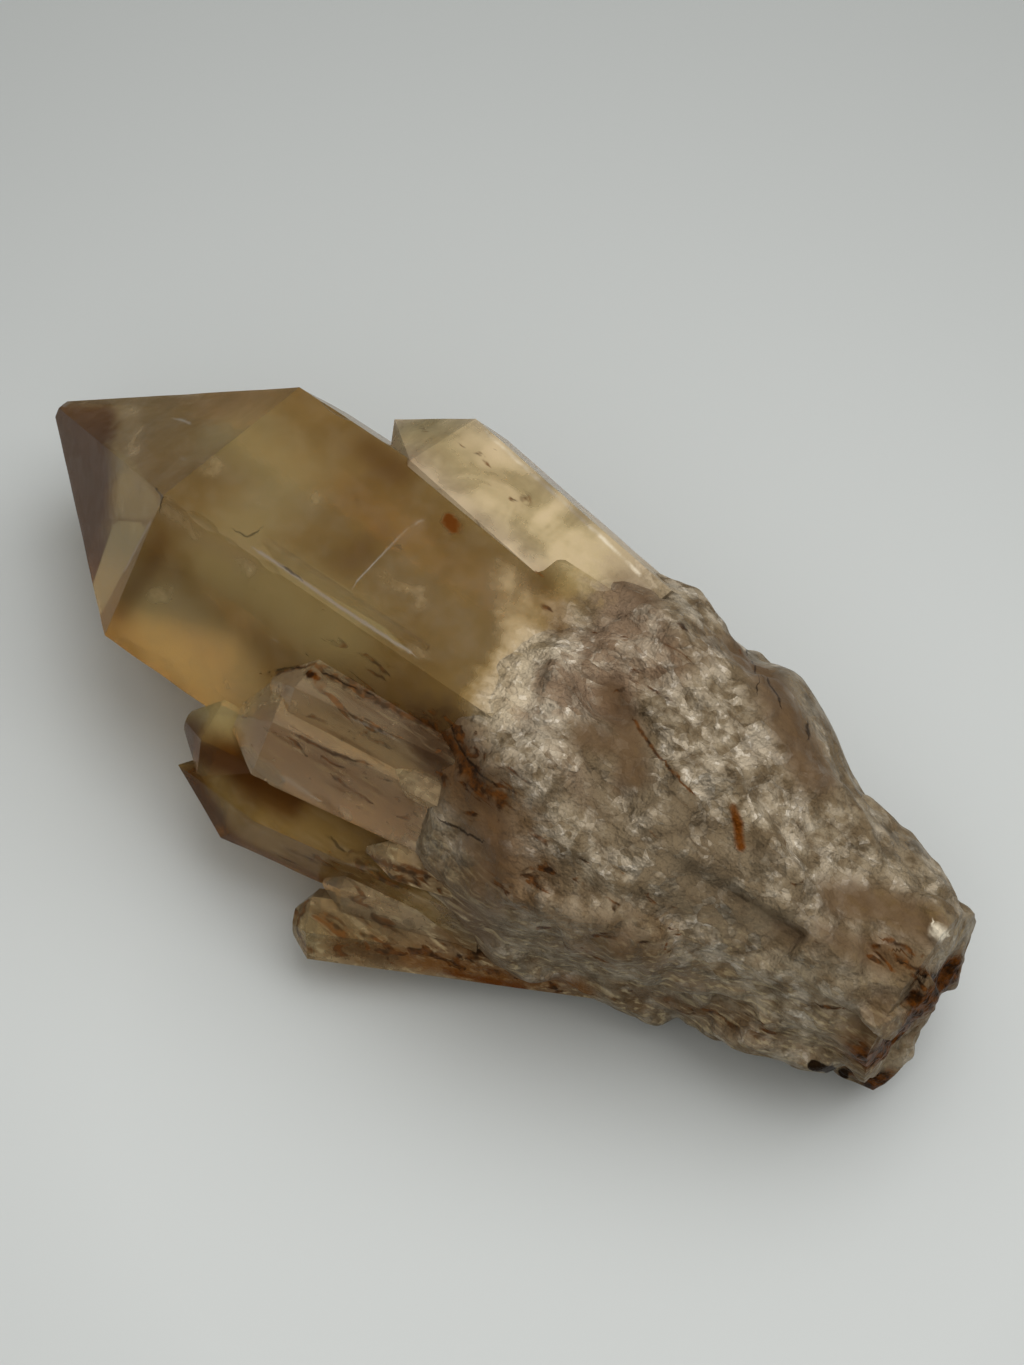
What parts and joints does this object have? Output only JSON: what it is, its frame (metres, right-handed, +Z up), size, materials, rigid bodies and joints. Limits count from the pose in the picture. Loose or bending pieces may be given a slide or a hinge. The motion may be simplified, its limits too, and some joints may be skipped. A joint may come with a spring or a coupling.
{
  "type": "natural citrine specimen",
  "caption": "Natural citrine: a clear honey-coloured quartz point with side crystals, fused in a milky rough root that ends in a broken face; lies on its side.",
  "frame": {"origin": "middle of the footprint, on the surface that the specimen lies on", "axes": "+X along the main crystal from its point to the broken root, +Z up, and the smaller crystals of the picture's near side at -Y"},
  "size_m": [0.1212, 0.0536, 0.0371],
  "materials": {
    "citrine_quartz": "clear honey to smoky quartz with natural faces, turning milky and rough in the root, rust stains along the contacts"
  },
  "bodies": {
    "root": {"citrine_cluster": "citrine_quartz"}
  },
  "joints": []
}
